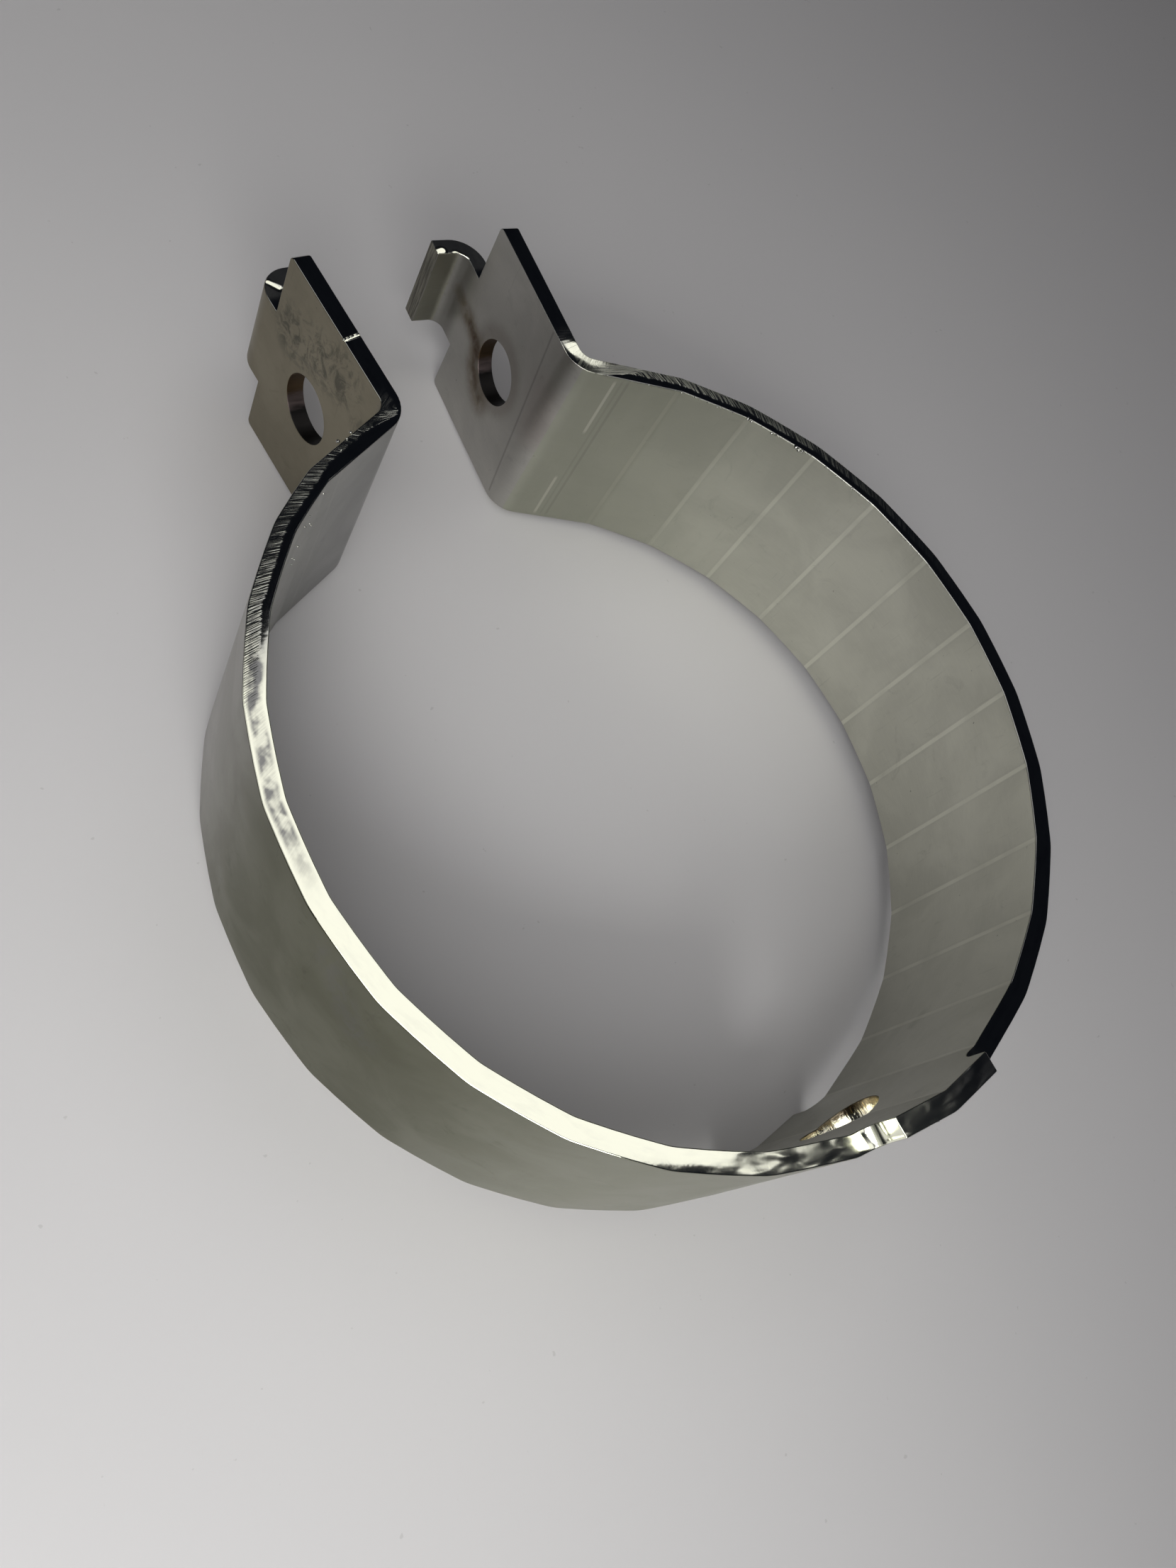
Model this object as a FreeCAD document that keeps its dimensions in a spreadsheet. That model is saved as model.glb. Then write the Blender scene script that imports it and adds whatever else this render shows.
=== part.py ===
import math
import os

import FreeCAD
import Part
import Sketcher

NODE = "strap_clamp"

# Every size in millimetres, every angle in degrees.
SIZES = [
    ("sheet", 1.5, "sheet thickness"),
    ("flat_radius", 29.9, "ring axis to the inner face of each flat"),
    ("end_flat_lean", 25.0, "lean of the last flats off the line across the gap"),
    ("press_radius", 2.0, "inner radius of each press line"),
    ("press_count", 12, "press lines on each side, the middle one counted"),
    ("band_height", 19.0, "height of the strap"),
    ("ear_bend_radius", 1.2, "inner radius where the ring turns into an ear"),
    ("right_flat_inset", 0.08, "last flat before the right ear, inwards from the others"),
    ("right_ear_offset", 4.45, "ring axis to the gap face of the right ear"),
    ("right_ear_splay", 5.15, "lean of the right ear away from the gap"),
    ("right_ear_length", 14.5, "end edge of the right ear past the ring's inner face"),
    ("left_flat_inset", 0.35, "last flat before the left ear, inwards from the others"),
    ("left_ear_offset", 7.2, "ring axis to the gap face of the left ear"),
    ("left_ear_splay", 2.43, "lean of the left ear away from the gap"),
    ("left_ear_length", 13.95, "end edge of the left ear past the ring's inner face"),
    ("ear_corner", 0.45, "rounding of the outer corners of the ears"),
    ("tab_height", 8.1, "height of each hooked tab"),
    ("tab_drop", 5.8, "top edge of the strap down to each tab"),
    ("tab_bend_radius", 1.1, "inner radius of the tab bend"),
    ("right_tab_length", 2.7, "end of the right tab past the gap face of its ear"),
    ("left_tab_length", 3.0, "end of the left tab past the gap face of its ear"),
    ("right_tab_stand", 4.26, "outer face of the right tab past the end edge of its ear"),
    ("left_tab_stand", 3.85, "outer face of the left tab past the end edge of its ear"),
    ("tab_root", 1.0, "overlap of the tab strip inside the ear"),
    ("pad_step", 2.65, "pad past the strap, above and below"),
    ("pad_width", 9.4, "width of the pad round the mounting hole"),
    ("pad_fillet", 1.2, "round where the pad meets the strap edges"),
    ("mount_hole", 6.6, "mounting hole diameter"),
    ("bolt_hole", 5.5, "diameter of the holes for the clamp bolt"),
    ("bolt_stand", 7.3, "axis of the clamp bolt past the ring's inner face"),
    ("bolt_drop", 0.25, "middle of the strap down to the axis of the clamp bolt"),
]

size = {name: value for name, value, note in SIZES}

doc = FreeCAD.newDocument("Bracket")
sheet = doc.addObject("Spreadsheet::Sheet", "Sizes")
for row, (name, value, note) in enumerate(SIZES, start=1):
    sheet.set("A%d" % row, name)
    sheet.set("B%d" % row, str(value))
    sheet.set("C%d" % row, note)
    sheet.setAlias("B%d" % row, name)

# The press lines share the ring evenly, up to the last flat on each side.
row = len(SIZES) + 1
sheet.set("A%d" % row, "press_step")
sheet.set("B%d" % row, "=(180 - end_flat_lean) / (press_count + 0.5)")
sheet.set("C%d" % row, "angle from one press line to the next")
sheet.setAlias("B%d" % row, "press_step")
doc.recompute()
size["press_step"] = (180 - size["end_flat_lean"]) / (size["press_count"] + 0.5)

body = doc.addObject("PartDesign::Body", "StrapClamp")
body.Label = NODE


def origin_feature(role):
    for feature in body.Origin.OriginFeatures:
        if feature.Role == role:
            return feature
    raise RuntimeError("no origin feature " + role)


def new_sketch(name, role, lift=None):
    sketch = body.newObject("Sketcher::SketchObject", name)
    sketch.AttachmentSupport = (origin_feature(role), "")
    sketch.MapMode = "FlatFace"
    if lift:
        sketch.setExpression("AttachmentOffset.Base.z", lift)
    return sketch


def heading(angle):
    return FreeCAD.Vector(math.cos(math.radians(angle)), math.sin(math.radians(angle)), 0)


def left_of(angle):
    return heading(angle + 90)


def crossing(angle_a, offset_a, angle_b, offset_b):
    """Point where two lines meet, each given by its heading and its offset to the left of the axis."""
    a = left_of(angle_a)
    b = left_of(angle_b)
    det = a.x * b.y - a.y * b.x
    return FreeCAD.Vector((offset_a * b.y - a.y * offset_b) / det, (a.x * offset_b - offset_a * b.x) / det, 0)


def add_arc(sketch, centre, radius, a, b, forward):
    """Arc from a to b, anticlockwise if forward, with the numbers of its first and last ends."""
    first = math.atan2(a.y - centre.y, a.x - centre.x)
    last = math.atan2(b.y - centre.y, b.x - centre.x)
    if not forward:
        first, last = last, first
    if last < first:
        last += 2 * math.pi
    circle = Part.Circle(centre, FreeCAD.Vector(0, 0, 1), radius)
    index = sketch.addGeometry(Part.ArcOfCircle(circle, first, last))
    return (index, 1, 2) if forward else (index, 2, 1)


class Strip:
    """Closed sheet section: near and far face lines joined by bend arcs, seen from above.

    lines holds (heading, offset of the near face to the left of the ring axis); bends holds the
    inner radius of each bend; start and stop are distances along the first and last heading.
    With hand -1 the section is mirrored to the left side.
    """

    def __init__(self, sketch, lines, bends, start, stop, hand=1):
        self.sketch = sketch
        self.hand = hand
        self.near = []
        self.far = []
        self.near_arcs = []
        self.far_arcs = []
        thick = size["sheet"]
        turns = [lines[i + 1][0] - lines[i][0] for i in range(len(bends))]
        for face, arcs, shift in ((self.near, self.near_arcs, 0.0), (self.far, self.far_arcs, thick)):
            points = [heading(lines[0][0]) * start + left_of(lines[0][0]) * (lines[0][1] - shift)]
            centres = []
            radii = []
            for i, turn in enumerate(turns):
                (a, wa), (b, wb) = lines[i], lines[i + 1]
                near_radius = bends[i] if turn > 0 else bends[i] + thick
                side = 1 if turn > 0 else -1
                centre = crossing(a, wa + side * near_radius, b, wb + side * near_radius)
                radius = near_radius + side * shift
                points.append(centre - left_of(a) * side * radius)
                points.append(centre - left_of(b) * side * radius)
                centres.append(centre)
                radii.append(radius)
            last = lines[-1]
            points.append(heading(last[0]) * stop + left_of(last[0]) * (last[1] - shift))
            for i in range(len(lines)):
                face.append(self.line(points[2 * i], points[2 * i + 1]))
            for i, turn in enumerate(turns):
                arcs.append(self.arc(centres[i], radii[i], points[2 * i + 1], points[2 * i + 2], turn))
        self.join_faces()
        self.angles = [line[0] for line in lines]

    def flip(self, point):
        return FreeCAD.Vector(point.x * self.hand, point.y, 0)

    def line(self, a, b):
        return self.sketch.addGeometry(Part.LineSegment(self.flip(a), self.flip(b)))

    def arc(self, centre, radius, a, b, turn):
        forward = turn * self.hand > 0
        return add_arc(self.sketch, self.flip(centre), radius, self.flip(a), self.flip(b), forward)

    def add(self, *spec):
        return self.sketch.addConstraint(Sketcher.Constraint(*spec))

    def join_faces(self):
        for face, arcs in ((self.near, self.near_arcs), (self.far, self.far_arcs)):
            for i, (index, begin, end) in enumerate(arcs):
                self.add("Tangent", face[i], 2, index, begin)
                self.add("Tangent", index, end, face[i + 1], 1)
        for near_arc, far_arc in zip(self.near_arcs, self.far_arcs):
            self.add("Coincident", near_arc[0], 3, far_arc[0], 3)
        for near_line, far_line in zip(self.near, self.far):
            self.add("Parallel", near_line, far_line)
        self.caps = []
        for a, b, end in ((self.near[0], self.far[0], 1), (self.near[-1], self.far[-1], 2)):
            near_line = self.sketch.Geometry[a]
            far_line = self.sketch.Geometry[b]
            near_point = near_line.StartPoint if end == 1 else near_line.EndPoint
            far_point = far_line.StartPoint if end == 1 else far_line.EndPoint
            cap = self.sketch.addGeometry(Part.LineSegment(near_point, far_point))
            self.add("Coincident", cap, 1, a, end)
            self.add("Coincident", cap, 2, b, end)
            self.add("Perpendicular", cap, a)
            self.caps.append(cap)
        self.drive("Sizes.sheet", "Distance", self.far[0], 1, self.near[0], size["sheet"])

    def drive(self, expression, *spec):
        index = self.add(*spec)
        self.sketch.renameConstraint(index, "size_%d" % index)
        self.sketch.setExpression("Constraints.size_%d" % index, expression)

    def turn_line(self, i, expression):
        """Hold the heading of near line i, the expression being its heading on the right side."""
        angle = self.angles[i] if self.hand > 0 else 180 - self.angles[i]
        text = expression if self.hand > 0 else "180 deg - (%s)" % expression
        self.drive(text, "Angle", self.near[i], math.radians(angle))

    def offset_line(self, i, expression, value):
        """Hold the distance from the ring axis to near line i."""
        self.drive(expression, "Distance", -1, 1, self.near[i], value)


def extrude(name, sketch, expression, value, centred=True):
    pad = body.newObject("PartDesign::Pad", name)
    pad.Profile = sketch
    if centred:
        pad.SideType = "Symmetric"
    pad.Length = value
    pad.setExpression("Length", expression)
    return pad


def repeat_press_line(name, original, count, backwards):
    """Repeat a press line round the ring axis; with no named count, once more."""
    pattern = body.newObject("PartDesign::PolarPattern", name)
    pattern.Originals = [original]
    pattern.Axis = (origin_feature("Z_Axis"), [""])
    pattern.Mode = "Spacing"
    pattern.Offset = size["press_step"]
    pattern.setExpression("Offset", "Sizes.press_step * 1 deg")
    pattern.Occurrences = size[count] if count else 2
    if count:
        pattern.setExpression("Occurrences", "Sizes." + count)
    pattern.Reversed = backwards
    body.Tip = pattern
    doc.recompute()


def fillet_edges(name, expression, value, wanted, count):
    """Round the sheet edges whose middle passes the test, on the body as it stands."""
    doc.recompute()
    base = body.Tip
    names = []
    for i, edge in enumerate(base.Shape.Edges, start=1):
        middle = edge.valueAt((edge.FirstParameter + edge.LastParameter) / 2)
        across = abs(edge.Vertexes[0].Z - edge.Vertexes[-1].Z) < 1e-6
        if across and abs(edge.Length - size["sheet"]) < 1e-4 and wanted(middle):
            names.append("Edge%d" % i)
    if len(names) != count:
        raise RuntimeError("%s found %d edges" % (name, len(names)))
    fillet = body.newObject("PartDesign::Fillet", name)
    fillet.Base = (base, names)
    fillet.Radius = value
    fillet.setExpression("Radius", expression)
    return fillet


# One press line with half a flat on each side, at the middle of the strap.
half_step = size["press_step"] / 2
unit_lines = [(-half_step, -size["flat_radius"]), (half_step, -size["flat_radius"])]
unit_sketch = new_sketch("PressLineSection", "XY_Plane")
unit = Strip(unit_sketch, unit_lines, [size["press_radius"]], 0, 0)
unit.turn_line(0, "-Sizes.press_step / 2 * 1 deg")
unit.turn_line(1, "Sizes.press_step / 2 * 1 deg")
unit.offset_line(0, "Sizes.flat_radius", size["flat_radius"])
unit.offset_line(1, "Sizes.flat_radius", size["flat_radius"])
unit.drive("Sizes.press_radius", "Radius", unit.near_arcs[0][0], size["press_radius"])
unit.add("PointOnObject", -1, 1, unit.caps[0])
unit.add("PointOnObject", -1, 1, unit.caps[1])
press_line = extrude("PressLine", unit_sketch, "Sizes.band_height", size["band_height"])
doc.recompute()

# The same press line repeated both ways round the ring.
repeat_press_line("PressLinesRight", press_line, "press_count", False)
repeat_press_line("PressLinesLeft", press_line, "press_count", True)

# The last press line, the last flat, the ear bend and the ear, on each side.
for word, hand in (("right", 1), ("left", -1)):
    name = word.capitalize()
    flat_heading = size["press_step"] * (size["press_count"] - 0.5)
    last_heading = 180 - size["end_flat_lean"]
    ear_heading = 90 - size[word + "_ear_splay"]
    last_flat = size["flat_radius"] - size[word + "_flat_inset"]
    ear_lines = [
        (flat_heading, -size["flat_radius"]),
        (last_heading, -last_flat),
        (ear_heading, -size[word + "_ear_offset"]),
    ]
    reach = size["flat_radius"] + size[word + "_ear_length"]
    ear_sketch = new_sketch(name + "EarSection", "XY_Plane")
    ear = Strip(ear_sketch, ear_lines, [size["press_radius"], size["ear_bend_radius"]], 0, reach, hand)
    ear.turn_line(0, "Sizes.press_step * (Sizes.press_count - 0.5) * 1 deg")
    ear.turn_line(1, "(180 - Sizes.end_flat_lean) * 1 deg")
    ear.turn_line(2, "(90 - Sizes.%s_ear_splay) * 1 deg" % word)
    ear.offset_line(0, "Sizes.flat_radius", size["flat_radius"])
    ear.offset_line(1, "Sizes.flat_radius - Sizes.%s_flat_inset" % word, last_flat)
    ear.offset_line(2, "Sizes.%s_ear_offset" % word, size[word + "_ear_offset"])
    ear.drive("Sizes.press_radius", "Radius", ear.near_arcs[0][0], size["press_radius"])
    ear.drive("Sizes.ear_bend_radius", "Radius", ear.far_arcs[1][0], size["ear_bend_radius"])
    ear.add("PointOnObject", -1, 1, ear.caps[0])
    reach_text = "Sizes.flat_radius + Sizes.%s_ear_length" % word
    ear.drive(reach_text, "Distance", -1, 1, ear.caps[1], reach)
    extrude(name + "Ear", ear_sketch, "Sizes.band_height", size["band_height"])
    doc.recompute()

# The hooked tab on the end of each ear, bent over the gap.
tab_lift = "(Sizes.band_height / 2 - Sizes.tab_drop - Sizes.tab_height) * 1 mm"
for word, hand in (("right", 1), ("left", -1)):
    name = word.capitalize()
    ear_heading = 90 - size[word + "_ear_splay"]
    offset = size[word + "_ear_offset"]
    ear_reach = size["flat_radius"] + size[word + "_ear_length"]
    ear_text = "Sizes.flat_radius + Sizes.%s_ear_length" % word
    root = ear_reach - size["tab_root"]
    reach = ear_reach + size[word + "_tab_stand"]
    length = size[word + "_tab_length"]
    tab_lines = [
        (ear_heading, -offset),
        (ear_heading + 90, -(reach - size["sheet"])),
    ]
    tab_sketch = new_sketch(name + "TabSection", "XY_Plane", tab_lift)
    tab = Strip(tab_sketch, tab_lines, [size["tab_bend_radius"]], root, length - offset, hand)
    tab.turn_line(0, "(90 - Sizes.%s_ear_splay) * 1 deg" % word)
    tab.add("Perpendicular", tab.near[0], tab.near[1])
    tab.offset_line(0, "Sizes.%s_ear_offset" % word, offset)
    tab.drive("%s + Sizes.%s_tab_stand" % (ear_text, word), "Distance", -1, 1, tab.far[1], reach)
    tab.drive("Sizes.tab_bend_radius", "Radius", tab.near_arcs[0][0], size["tab_bend_radius"])
    tab.drive(ear_text + " - Sizes.tab_root", "Distance", -1, 1, tab.caps[0], root)
    tab.drive("Sizes.%s_tab_length" % word, "Distance", tab.near[1], 2, tab.near[0], length)
    extrude(name + "Tab", tab_sketch, "Sizes.tab_height", size["tab_height"], centred=False)
    doc.recompute()

# Round the mounting hole the strap is taller: three press lines of the taller strip, then trimmed.
tall_height = size["band_height"] + 2 * size["pad_step"]
tall = extrude("TallPressLine", unit_sketch, "Sizes.band_height + 2 * Sizes.pad_step", tall_height)
doc.recompute()
repeat_press_line("TallPressLineRight", tall, None, False)
repeat_press_line("TallPressLineLeft", tall, None, True)

trim_sketch = new_sketch("PadTrimOutline", "XZ_Plane")
top = size["band_height"] / 2


def trim_corner(right, upper):
    """Outline of the sheet cut away beside the pad, its inner corner rounded."""
    corner = FreeCAD.Vector(size["pad_width"] / 2, top, 0)
    rounding = size["pad_fillet"]
    side = size["flat_radius"] / 2
    over = top + 2 * size["pad_step"]
    points = [
        FreeCAD.Vector(corner.x, over, 0),
        FreeCAD.Vector(corner.x, top + rounding, 0),
        FreeCAD.Vector(corner.x + rounding, top, 0),
        FreeCAD.Vector(side, top, 0),
        FreeCAD.Vector(side, over, 0),
    ]
    middle = FreeCAD.Vector(corner.x + rounding, top + rounding, 0)
    points = [FreeCAD.Vector(p.x * right, p.y * upper, 0) for p in points]
    middle = FreeCAD.Vector(middle.x * right, middle.y * upper, 0)
    add = trim_sketch.addConstraint
    down = trim_sketch.addGeometry(Part.LineSegment(points[0], points[1]))
    bend, begin, end = add_arc(trim_sketch, middle, rounding, points[1], points[2], right * upper > 0)
    out = trim_sketch.addGeometry(Part.LineSegment(points[2], points[3]))
    back = trim_sketch.addGeometry(Part.LineSegment(points[3], points[4]))
    close = trim_sketch.addGeometry(Part.LineSegment(points[4], points[0]))
    add(Sketcher.Constraint("Tangent", down, 2, bend, begin))
    add(Sketcher.Constraint("Tangent", bend, end, out, 1))
    add(Sketcher.Constraint("Coincident", out, 2, back, 1))
    add(Sketcher.Constraint("Coincident", back, 2, close, 1))
    add(Sketcher.Constraint("Coincident", close, 2, down, 1))
    add(Sketcher.Constraint("Vertical", down))
    add(Sketcher.Constraint("Horizontal", out))
    add(Sketcher.Constraint("Vertical", back))
    add(Sketcher.Constraint("Horizontal", close))
    drives = [
        ("Sizes.pad_width / 2", ("Distance", down, 1, -2, corner.x)),
        ("Sizes.band_height / 2", ("Distance", out, 1, -1, top)),
        ("Sizes.pad_fillet", ("Radius", bend, rounding)),
        ("Sizes.flat_radius / 2", ("Distance", back, 1, -2, side)),
        ("Sizes.band_height / 2 + 2 * Sizes.pad_step", ("Distance", close, 1, -1, over)),
    ]
    for expression, spec in drives:
        index = add(Sketcher.Constraint(*spec))
        trim_sketch.renameConstraint(index, "size_%d" % index)
        trim_sketch.setExpression("Constraints.size_%d" % index, expression)


for right in (1, -1):
    for upper in (1, -1):
        trim_corner(right, upper)

trim = body.newObject("PartDesign::Pocket", "PadTrim")
trim.Profile = trim_sketch
trim.Type = "ThroughAll"
trim.Reversed = True
doc.recompute()


def ear_corner(point):
    level = abs(abs(point.z) - top) < 1e-6
    shorter = min(size["right_ear_length"], size["left_ear_length"])
    return level and point.y > size["flat_radius"] + shorter - size["sheet"]


fillet_edges("EarCorners", "Sizes.ear_corner", size["ear_corner"], ear_corner, 4)
doc.recompute()


def drill(name, role, place, diameter, both_ways):
    """Cut a round hole through the wall, its axis standing on the named plane.

    place holds the sketch position of the axis and the two expressions that drive it, or None
    for a hole whose axis passes through the origin.
    """
    sketch = new_sketch(name + "Circle", role)
    across, up = place[:2] if place else (0, 0)
    centre = FreeCAD.Vector(across, up, 0)
    circle = sketch.addGeometry(Part.Circle(centre, FreeCAD.Vector(0, 0, 1), size[diameter] / 2))
    sketch.addConstraint(Sketcher.Constraint("Diameter", circle, size[diameter]))
    sketch.renameConstraint(0, "bore")
    sketch.setExpression("Constraints.bore", "Sizes." + diameter)
    if place:
        sketch.addConstraint(Sketcher.Constraint("DistanceX", -1, 1, circle, 3, across))
        sketch.renameConstraint(1, "across")
        sketch.setExpression("Constraints.across", place[2])
        sketch.addConstraint(Sketcher.Constraint("DistanceY", -1, 1, circle, 3, up))
        sketch.renameConstraint(2, "up")
        sketch.setExpression("Constraints.up", place[3])
    else:
        sketch.addConstraint(Sketcher.Constraint("Coincident", circle, 3, -1, 1))
    before = body.Shape.Volume
    pocket = body.newObject("PartDesign::Pocket", name)
    pocket.Profile = sketch
    pocket.Type = "ThroughAll"
    if both_ways:
        pocket.SideType = "Symmetric"
    else:
        pocket.Reversed = True
    doc.recompute()
    walls = 2 if both_ways else 1
    plain = walls * math.pi * size[diameter] ** 2 / 4 * size["sheet"]
    removed = before - body.Shape.Volume
    if not 0.97 * plain < removed < 1.06 * plain:
        raise RuntimeError("%s removed %.2f mm3 and %.2f was expected" % (name, removed, plain))


# The axis of the clamp bolt lies a little below the middle of the strap.
bolt_reach = size["flat_radius"] + size["bolt_stand"]
bolt_text = "Sizes.flat_radius + Sizes.bolt_stand"
bolt_place = (bolt_reach, -size["bolt_drop"], bolt_text, "-Sizes.bolt_drop")
drill("BoltHoles", "YZ_Plane", bolt_place, "bolt_hole", True)
drill("MountHole", "XZ_Plane", None, "mount_hole", False)

doc.recompute()
for item in doc.Objects:
    if "Invalid" in item.State or "Error" in item.State:
        raise RuntimeError("%s is %s" % (item.Name, item.State))
for item in doc.Objects:
    if item.TypeId == "Sketcher::SketchObject" and item.solve() != 0:
        raise RuntimeError("%s does not solve" % item.Name)
shape = body.Shape
if shape.isNull() or not shape.isValid() or len(shape.Solids) != 1:
    raise RuntimeError("the body is not one valid solid")
box = shape.BoundBox
print("box %.3f..%.3f  %.3f..%.3f  %.3f..%.3f" % (box.XMin, box.XMax, box.YMin, box.YMax, box.ZMin, box.ZMax))
print("volume %.1f mm3, faces %d" % (shape.Volume, len(shape.Faces)))

os.makedirs("parts", exist_ok=True)
shape.exportStep("parts/%s.step" % NODE)
print("wrote parts/%s.step" % NODE)
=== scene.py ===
import math
import random

import bpy
from mathutils import Matrix, Vector


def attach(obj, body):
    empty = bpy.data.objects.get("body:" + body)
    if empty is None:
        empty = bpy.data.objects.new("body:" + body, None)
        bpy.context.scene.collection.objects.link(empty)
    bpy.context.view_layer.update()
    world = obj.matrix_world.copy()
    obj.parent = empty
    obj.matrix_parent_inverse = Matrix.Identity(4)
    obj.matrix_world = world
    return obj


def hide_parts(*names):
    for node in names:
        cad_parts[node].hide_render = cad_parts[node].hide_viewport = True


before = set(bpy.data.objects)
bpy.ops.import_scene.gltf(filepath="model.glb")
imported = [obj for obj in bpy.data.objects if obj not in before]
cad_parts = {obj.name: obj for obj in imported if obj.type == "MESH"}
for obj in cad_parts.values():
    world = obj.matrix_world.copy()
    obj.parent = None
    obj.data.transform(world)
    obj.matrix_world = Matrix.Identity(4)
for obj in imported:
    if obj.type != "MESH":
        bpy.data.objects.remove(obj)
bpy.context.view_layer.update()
mm = 0.001
degreesInRadian = 57.2958
radiansInDegree = 0.0174533
look = bpy.context.scene
look.view_settings.view_transform = "Standard"


def clearSelection():
    if bpy.context.object and bpy.context.object.mode != "OBJECT":
        bpy.ops.object.mode_set(mode="OBJECT")
    bpy.ops.object.select_all(action="DESELECT")


def duplicateOf(thing):
    clearSelection()
    thing.select_set(True)
    bpy.context.view_layer.objects.active = thing
    bpy.ops.object.duplicate()
    return bpy.context.object


# camera at the photo's viewing angle, places in mm from the ring's centre
viewpoint = {
    "place": (-54.51, -16.18, 78.28),
    "right": (0.78120, -0.48436, 0.39386),
    "down": (-0.33210, -0.85665, -0.39479),
    "forward": (0.52862, 0.17761, -0.83007),
    "sensor": 36,
    "lens": 28.67,
    "clip": (0.002, 20),  # metres
}


def placeCamera(v):
    clearSelection()
    bpy.ops.object.camera_add()
    cam = bpy.context.object
    cam.name = "photoCamera"
    sides = (Vector(v["right"]), -Vector(v["down"]), -Vector(v["forward"]))
    turn = Matrix(sides).transposed().to_4x4()
    cam.matrix_world = Matrix.Translation(Vector(v["place"]) * mm) @ turn
    cam.data.sensor_fit = "AUTO"
    cam.data.sensor_width = v["sensor"]
    cam.data.lens = v["lens"]
    cam.data.clip_start, cam.data.clip_end = v["clip"]
    look.camera = cam
    print("camera placed")


placeCamera(viewpoint)


# small helpers that wire shader nodes; a value is a number or another node's output
def newMaterial(name):
    mat = bpy.data.materials.new(name)
    mat.use_nodes = True
    tree = mat.node_tree
    tree.nodes.clear()
    out = tree.nodes.new("ShaderNodeOutputMaterial")
    shader = tree.nodes.new("ShaderNodeBsdfPrincipled")
    tree.links.new(shader.outputs[0], out.inputs[0])
    return mat, tree, shader


def put(tree, socket, value):
    if isinstance(value, bpy.types.NodeSocket):
        tree.links.new(value, socket)
    else:
        socket.default_value = value


def sums(tree, operation, a, b=0.0, clamp=False):
    node = tree.nodes.new("ShaderNodeMath")
    node.operation = operation
    node.use_clamp = clamp
    put(tree, node.inputs[0], a)
    put(tree, node.inputs[1], b)
    return node.outputs[0]


def chain(tree, operation, values):
    total = values[0]
    for value in values[1:]:
        total = sums(tree, operation, total, value)
    return total


def times(tree, *values):
    return chain(tree, "MULTIPLY", values)


def plus(tree, *values):
    return chain(tree, "ADD", values)


def largest(tree, *values):
    return chain(tree, "MAXIMUM", values)


def minus(tree, a, b):
    return sums(tree, "SUBTRACT", a, b)


def howFar(tree, u, v):
    return sums(tree, "SQRT", plus(tree, times(tree, u, u), times(tree, v, v)))


def fade(tree, value, low, high, toLow=0.0, toHigh=1.0):
    node = tree.nodes.new("ShaderNodeMapRange")
    node.interpolation_type = "SMOOTHSTEP"
    names = ("From Min", "From Max", "To Min", "To Max")
    for name, number in zip(names, (low, high, toLow, toHigh)):
        put(tree, node.inputs[name], number)
    put(tree, node.inputs["Value"], value)
    return node.outputs["Result"]


def within(tree, value, rise, fall):
    # 1 between the end of the rise and the start of the fall, 0 outside both
    return times(tree, fade(tree, value, *rise), fade(tree, value, *fall, 1.0, 0.0))


def speckle(tree, vector, scale, detail=3.0, rough=0.5, twist=0.0):
    node = tree.nodes.new("ShaderNodeTexNoise")
    put(tree, node.inputs["Vector"], vector)
    node.inputs["Scale"].default_value = scale
    node.inputs["Detail"].default_value = detail
    node.inputs["Roughness"].default_value = rough
    node.inputs["Distortion"].default_value = twist
    return node.outputs["Fac"]


def joinXyz(tree, x, y, z):
    node = tree.nodes.new("ShaderNodeCombineXYZ")
    for socket, value in zip(node.inputs, (x, y, z)):
        put(tree, socket, value)
    return node.outputs[0]


def grain(tree, place, shares, scale=1.0, detail=3.0, rough=0.5, twist=0.0):
    # noise drawn out along some of three directions: a large share is fine that way, 0 is even
    sides = [times(tree, part, share) for part, share in zip(place, shares)]
    return speckle(tree, joinXyz(tree, *sides), scale, detail, rough, twist)


def tint(tree, amount, a, b):
    node = tree.nodes.new("ShaderNodeMix")
    node.data_type = "RGBA"
    put(tree, node.inputs[0], amount)
    put(tree, node.inputs[6], a)
    put(tree, node.inputs[7], b)
    return node.outputs[2]


def mixed(tree, amount, a, b):
    node = tree.nodes.new("ShaderNodeMix")
    put(tree, node.inputs[0], amount)
    put(tree, node.inputs[2], a)
    put(tree, node.inputs[3], b)
    return node.outputs[0]


def splitXyz(tree, vector):
    node = tree.nodes.new("ShaderNodeSeparateXYZ")
    put(tree, node.inputs[0], vector)
    return node.outputs


def relief(tree, height, strength, deep, under=None):
    node = tree.nodes.new("ShaderNodeBump")
    node.inputs["Strength"].default_value = strength
    node.inputs["Distance"].default_value = deep * mm
    put(tree, node.inputs["Height"], height)
    if under is not None:
        put(tree, node.inputs["Normal"], under)
    return node.outputs[0]


def inMillimetres(tree):
    place = tree.nodes.new("ShaderNodeTexCoord")
    node = tree.nodes.new("ShaderNodeVectorMath")
    node.operation = "SCALE"
    tree.links.new(place.outputs["Object"], node.inputs[0])
    node.inputs["Scale"].default_value = 1 / mm
    return node.outputs[0]


def nearLine(tree, u, v, a, b, wide, soft):
    # 1 on the line from a to b in the u, v plane, 0 beyond its width
    du, dv = b[0] - a[0], b[1] - a[1]
    span = du * du + dv * dv
    pu = minus(tree, u, a[0])
    pv = minus(tree, v, a[1])
    dot = plus(tree, times(tree, pu, du / span), times(tree, pv, dv / span))
    step = sums(tree, "ADD", dot, 0.0, clamp=True)
    qu = minus(tree, pu, times(tree, step, du))
    qv = minus(tree, pv, times(tree, step, dv))
    return fade(tree, howFar(tree, qu, qv), wide, wide + soft, 1.0, 0.0)


def scaled(colour, share):
    return tuple(min(1.0, share * v) for v in colour[:3]) + (1,)


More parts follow.
